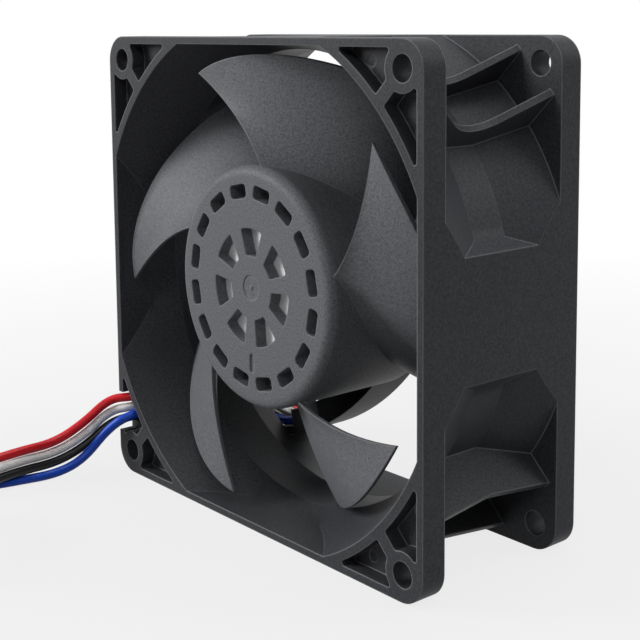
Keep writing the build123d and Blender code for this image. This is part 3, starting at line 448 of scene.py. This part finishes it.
@dataclass
class RigidPieces:
    """The rigid solids: the visible ones get smooth skins, the others only their finish.

    An edge stays sharp above the sharp angle. Faces that meet at less than the flat angle become
    one, and corners nearer than the merge distance, in metres, are joined.
    """

    finisher: Finisher
    sharp_angle: float = math.radians(9)
    flat_angle: float = math.radians(0.2)
    merge_distance: float = 1e-6
    skins: dict[str, tuple[str, Finish]] = field(
        default_factory=lambda: {
            "frame_housing": ("frame_moulding", FRAME_PLASTIC),
            "impeller": ("impeller_moulding", IMPELLER_PLASTIC),
            "rotor_yoke": ("yoke_cup", ZINC),
            "bearing_cap": ("cap_disc", FRAME_PLASTIC),
            "connector_housing": ("plug_housing", PLUG_PLASTIC),
        }
    )
    plain: dict[str, Finish] = field(
        default_factory=lambda: {
            "bearing_tube": BRASS,
            "shaft_bush": BRASS,
            "shaft": STEEL,
            "retaining_ring": STEEL,
            "preload_spring": STEEL,
            "magnet_ring": MAGNET,
            "stator_core": SHEETS,
            "front_insulator": INSULATOR,
            "rear_insulator": INSULATOR,
            "windings": COPPER,
            "circuit_board": BOARD,
            "driver_chip": CHIP,
            "hall_sensor": CHIP,
            "board_capacitors": CERAMIC,
            "terminal_pins": TIN,
            "connector_terminals": TIN,
        }
    )

    def skin(self, node: str, name: str, finish: Finish) -> bpy.types.Object:
        """Copy a solid as one closed, smoothly shaded surface, and let the copy stand for it.

        Args:
            node: The solid's node.
            name: The copy's name.
            finish: What it is finished with.

        Returns:
            The new piece.
        """
        source = frame["nodes"][node]
        mesh = source.data.copy()
        mesh.name = name
        mesh.transform(source.matrix_world)
        work = bmesh.new()
        work.from_mesh(mesh)
        bmesh.ops.remove_doubles(work, verts=work.verts, dist=self.merge_distance)
        flat = {"angle_limit": self.flat_angle, "verts": work.verts, "edges": work.edges}
        bmesh.ops.dissolve_limit(work, **flat)
        work.to_mesh(mesh)
        work.free()
        mesh.shade_smooth()
        mesh.set_sharp_from_angle(angle=self.sharp_angle)
        piece = bpy.data.objects.new(name, mesh)
        bpy.context.scene.collection.objects.link(piece)
        normals = piece.modifiers.new("even_normals", "WEIGHTED_NORMAL")
        normals.keep_sharp = True
        self.finisher.coat(piece, finish)
        adopt(piece, node)
        return piece

    def build(self) -> None:
        """Dress every rigid solid."""
        for node, (name, finish) in self.skins.items():
            piece = self.skin(node, name, finish)
            LOG.info("%s: %d faces, %s", piece.name, len(piece.data.polygons), finish.name)
        for node, finish in self.plain.items():
            self.finisher.coat(frame["nodes"][node], finish)
            LOG.info("%s: %s", node, finish.name)
        for place in ("front", "rear"):
            for part in ("outer_ring", "inner_ring", "balls", "cage"):
                self.finisher.coat(frame["nodes"][f"{place}_bearing_{part}"], STEEL)
        LOG.info("both bearings: %s", STEEL.name)


def body_of(node: str) -> str:
    """The name of the body that a node rides on."""
    bodies = frame["record"]["behaviour"]["bodies"]
    return next(body for body, nodes in bodies.items() if node in nodes)


def adopt(piece: bpy.types.Object, *nodes: str) -> None:
    """Let a piece ride on the body of some nodes and stand for them.

    Args:
        piece: The piece.
        *nodes: The nodes that it stands for.
    """
    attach(piece, body_of(nodes[0]))
    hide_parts(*nodes)


@dataclass
class Leads:
    """The four free leads: out of the frame's pocket, down, into the coil and to the plug.

    All sizes and places are in metres. The coil's rise is for each turn.
    """

    finisher: Finisher
    diameter: float = 0.0019
    length: float = 0.33
    coil_centre: tuple[float, float] = (-0.037, -0.077)
    coil_turns: float = 2.25
    coil_rise: float = 0.0039
    points_per_turn: int = 24
    steps_round: int = 4
    steps_along: int = 6
    routes: dict[Lead, tuple[Point, ...]] = field(
        default_factory=lambda: {
            Lead.BLUE: (
                (-0.0413, -0.0130, 0.0126),
                (-0.0413, -0.0196, 0.0126),
                (-0.0456, -0.0224, 0.0089),
                (-0.0475, -0.0272, 0.0030),
                (-0.0484, -0.0330, 0.00095),
                (-0.0499, -0.0410, 0.00095),
                (-0.0519, -0.0500, 0.00095),
                (-0.05398, -0.0585, 0.00095),
                (-0.05398, -0.0640, 0.00095),
            ),
            Lead.BLACK: (
                (-0.0433, -0.0130, 0.0114),
                (-0.0433, -0.0172, 0.0114),
                (-0.0483, -0.0202, 0.0094),
                (-0.0491, -0.0256, 0.0053),
                (-0.0496, -0.0325, 0.00295),
                (-0.0497, -0.0410, 0.00305),
                (-0.0495, -0.0500, 0.0022),
                (-0.05202, -0.0585, 0.00095),
                (-0.05202, -0.0640, 0.00095),
            ),
            Lead.WHITE: (
                (-0.0433, -0.0130, 0.01345),
                (-0.0433, -0.0172, 0.01345),
                (-0.0484, -0.0201, 0.0120),
                (-0.0491, -0.0258, 0.0077),
                (-0.0498, -0.0326, 0.0050),
                (-0.0500, -0.0410, 0.00505),
                (-0.0497, -0.0500, 0.00415),
                (-0.05202, -0.0585, 0.0029),
                (-0.05202, -0.0640, 0.0029),
            ),
            Lead.RED: (
                (-0.0433, -0.0130, 0.0155),
                (-0.0433, -0.0172, 0.0155),
                (-0.0485, -0.0200, 0.0146),
                (-0.0492, -0.0260, 0.0102),
                (-0.0500, -0.0327, 0.0071),
                (-0.0503, -0.0410, 0.0070),
                (-0.0517, -0.0500, 0.0056),
                (-0.05398, -0.0585, 0.0029),
                (-0.05398, -0.0640, 0.0029),
            ),
        }
    )
    tails: dict[Lead, tuple[Point, ...]] = field(
        default_factory=lambda: {
            Lead.BLUE: (
                (-0.0250, -0.09398, 0.00973),
                (-0.0215, -0.09398, 0.00973),
                (-0.0130, -0.09427, 0.0031),
                (-0.0025, -0.09427, 0.0031),
            ),
            Lead.BLACK: (
                (-0.0250, -0.09202, 0.00973),
                (-0.0215, -0.09202, 0.00973),
                (-0.0130, -0.09173, 0.0031),
                (-0.0025, -0.09173, 0.0031),
            ),
            Lead.WHITE: (
                (-0.0250, -0.09202, 0.01168),
                (-0.0195, -0.09202, 0.01168),
                (-0.0110, -0.08919, 0.0031),
                (-0.0025, -0.08919, 0.0031),
            ),
            Lead.RED: (
                (-0.0250, -0.09398, 0.01168),
                (-0.0195, -0.09398, 0.01168),
                (-0.0110, -0.09681, 0.0031),
                (-0.0025, -0.09681, 0.0031),
            ),
        }
    )

    def coil(self, start: Point) -> np.ndarray:
        """Control points of a lead's turns in the coil.

        The angle t runs from half a turn over all the turns, and the points are
        centre + r (cos t, sin t), with the height rising evenly with t. The control points lie
        outside the turns by one over the cosine of half a step, where the spline cuts inside.

        Args:
            start: Where the lead comes to the coil, beside its bundle's middle.

        Returns:
            The points, one row each.
        """
        radius = self.coil_centre[0] - start[0]
        step = 2 * math.pi / self.points_per_turn
        turn = np.arange(round(self.coil_turns * self.points_per_turn) + 1) * step
        out = radius / math.cos(step / 2)
        return np.column_stack(
            [
                self.coil_centre[0] + out * np.cos(math.pi + turn),
                self.coil_centre[1] + out * np.sin(math.pi + turn),
                start[2] + self.coil_rise * turn / (2 * math.pi),
            ]
        )

    def curve(self, lead: Lead) -> bpy.types.Object:
        """Draw one lead as a round spline through its route, its turns and its tail.

        Args:
            lead: Which lead.

        Returns:
            The curve object.
        """
        route = np.array(self.routes[lead])
        points = np.vstack([route, self.coil(self.routes[lead][-1]), np.array(self.tails[lead])])
        curve = bpy.data.curves.new(f"{lead.value}_lead", "CURVE")
        curve.dimensions = "3D"
        curve.bevel_depth = self.diameter / 2
        curve.bevel_resolution = self.steps_round
        curve.use_fill_caps = True
        curve.resolution_u = self.steps_along
        spline = curve.splines.new("NURBS")
        spline.points.add(len(points) - 1)
        spline.points.foreach_set("co", np.column_stack([points, np.ones(len(points))]).ravel())
        spline.order_u = 3
        spline.use_endpoint_u = True
        piece = bpy.data.objects.new(curve.name, curve)
        bpy.context.scene.collection.objects.link(piece)
        return piece

    def build(self) -> None:
        """Draw and finish all four leads, let them stand for the model's leads, and finish their
        runs inside the fan.
        """
        for lead in Lead:
            piece = self.curve(lead)
            self.finisher.coat(piece, LEAD_FINISH[lead])
            adopt(piece, f"lead_{lead.value}", "lead_coil")
            self.finisher.coat(frame["nodes"][f"inner_lead_{lead.value}"], LEAD_FINISH[lead])
            LOG.info("%s: %d control points", piece.name, len(piece.data.splines[0].points))


def seen_straight(tree: bpy.types.NodeTree) -> bpy.types.NodeSocket:
    """Tell the rays that show a surround from those that carry its light.

    Args:
        tree: The node tree to add to.

    Returns:
        A socket that is 1 for camera, glossy and transmission rays and 0 for all others.
    """
    rays = tree.nodes.new("ShaderNodeLightPath")
    total = rays.outputs["Is Camera Ray"]
    for kind in ("Is Glossy Ray", "Is Transmission Ray"):
        add = tree.nodes.new("ShaderNodeMath")
        add.use_clamp = True
        tree.links.new(total, add.inputs[0])
        tree.links.new(rays.outputs[kind], add.inputs[1])
        total = add.outputs["Value"]
    return total


@dataclass(frozen=True)
class Softbox:
    """A rectangular soft lamp: its name, its place, its width and height in metres, its watts."""

    name: str
    place: Point
    size: tuple[float, float]
    watts: float

    def hang(self, aim: Point) -> None:
        """Hang the lamp.

        Args:
            aim: The point that it faces.
        """
        light = bpy.data.lights.new(self.name, "AREA")
        light.shape = "RECTANGLE"
        light.size, light.size_y = self.size
        light.energy = self.watts
        lamp = bpy.data.objects.new(self.name, light)
        lamp.location = self.place
        view = Vector(aim) - Vector(self.place)
        lamp.rotation_euler = view.to_track_quat("-Z", "Y").to_euler()
        bpy.context.scene.collection.objects.link(lamp)


@dataclass
class Studio:
    """A pale floor that runs into a white surround, soft lamps, and the camera.

    The floor's white comes in between the two fade distances from the middle, where it starts
    at the near share.
    """

    floor_half: float = 3.0
    floor_grey: float = 0.26
    floor_roughness: float = 0.8
    fade: tuple[float, float] = (0.05, 0.3)
    near_share: float = 0.8
    even_light: float = 0.05
    aim: Point = (0, 0, 0.045)
    softboxes: tuple[Softbox, ...] = (
        Softbox("left_softbox", (-0.72, -0.78, 0.45), (0.4, 0.5), 12),
        Softbox("right_softbox", (0.6, -0.7, 0.75), (0.4, 0.4), 2),
        Softbox("top_softbox", (0.1, 0.05, 0.9), (0.5, 0.5), 4.5),
        Softbox("rim_softbox", (0.7, 0.6, 0.75), (0.4, 0.4), 3.5),
    )
    eye: Point = (0.184785, -0.156859, 0.094248)
    turn: Point = (1.448656, 0.008422, 0.869266)
    lens: float = 71.67
    sensor: float = 36.0
    shift_y: float = -0.21875
    clip_start: float = 0.01

    def floor(self) -> None:
        """Lay the floor, which fades to white with its distance from the fan."""
        half = self.floor_half
        corners = [(-half, -half, 0), (half, -half, 0), (half, half, 0), (-half, half, 0)]
        mesh = bpy.data.meshes.new("floor")
        mesh.from_pydata(corners, [], [(0, 1, 2, 3)])
        floor = bpy.data.objects.new("floor", mesh)
        bpy.context.scene.collection.objects.link(floor)
        recipe = Recipe("floor_paper")
        recipe.shader.inputs["Base Color"].default_value = (*(self.floor_grey,) * 3, 1)
        recipe.shader.inputs["Roughness"].default_value = self.floor_roughness
        glow = recipe.node("ShaderNodeEmission", {"Color": (1, 1, 1, 1), "Strength": 1.0})
        distance = recipe.node("ShaderNodeVectorMath", operation="LENGTH")
        recipe.link(recipe.place, "Object", distance, "Vector")
        near, far = self.fade
        ends = {"From Min": near, "From Max": far, "To Min": self.near_share, "To Max": 1.0}
        fade = recipe.node("ShaderNodeMapRange", ends)
        recipe.link(distance, "Value", fade, "Value")
        seen = recipe.node("ShaderNodeMath", operation="MULTIPLY")
        recipe.link(fade, "Result", seen, "Value")
        recipe.tree.links.new(seen_straight(recipe.tree), seen.inputs[1])
        mix = recipe.node("ShaderNodeMixShader")
        recipe.link(seen, "Value", mix, "Fac")
        recipe.tree.links.new(recipe.shader.outputs["BSDF"], mix.inputs[1])
        recipe.tree.links.new(glow.outputs["Emission"], mix.inputs[2])
        recipe.link(mix, "Shader", recipe.output, "Surface")
        floor.data.materials.append(recipe.material)

    def world(self) -> None:
        """Surround the set with white for the camera and a plain even light for the rest."""
        world = bpy.data.worlds.new("surround")
        world.use_nodes = True
        tree = world.node_tree
        tree.nodes.clear()
        output = tree.nodes.new("ShaderNodeOutputWorld")
        mix = tree.nodes.new("ShaderNodeMixShader")
        even, white = (tree.nodes.new("ShaderNodeBackground") for _ in range(2))
        even.inputs["Strength"].default_value = self.even_light
        for light in (even, white):
            light.inputs["Color"].default_value = (1, 1, 1, 1)
        tree.links.new(seen_straight(tree), mix.inputs["Fac"])
        tree.links.new(even.outputs["Background"], mix.inputs[1])
        tree.links.new(white.outputs["Background"], mix.inputs[2])
        tree.links.new(mix.outputs["Shader"], output.inputs["Surface"])
        bpy.context.scene.world = world

    def camera(self) -> None:
        """Set the camera where the photograph was taken from."""
        lens = bpy.data.cameras.new("camera")
        lens.lens = self.lens
        lens.sensor_width = self.sensor
        lens.shift_y = self.shift_y
        lens.clip_start = self.clip_start
        camera = bpy.data.objects.new("camera", lens)
        camera.location = self.eye
        camera.rotation_euler = self.turn
        bpy.context.scene.collection.objects.link(camera)
        bpy.context.scene.camera = camera

    def build(self) -> None:
        """Set up the floor, the light and the camera."""
        self.floor()
        self.world()
        for softbox in self.softboxes:
            softbox.hang(self.aim)
        self.camera()
        bpy.context.scene.view_settings.view_transform = "Standard"
        LOG.info("studio: floor, lamps and camera")


def main() -> None:
    """Dress the fan, lay its leads and set up the studio."""
    finisher = Finisher()
    RigidPieces(finisher).build()
    Leads(finisher).build()
    Studio().build()
    bpy.context.view_layer.update()


if __name__ == "__main__":
    logging.basicConfig(level=logging.INFO, format="%(name)s: %(message)s")
    main()
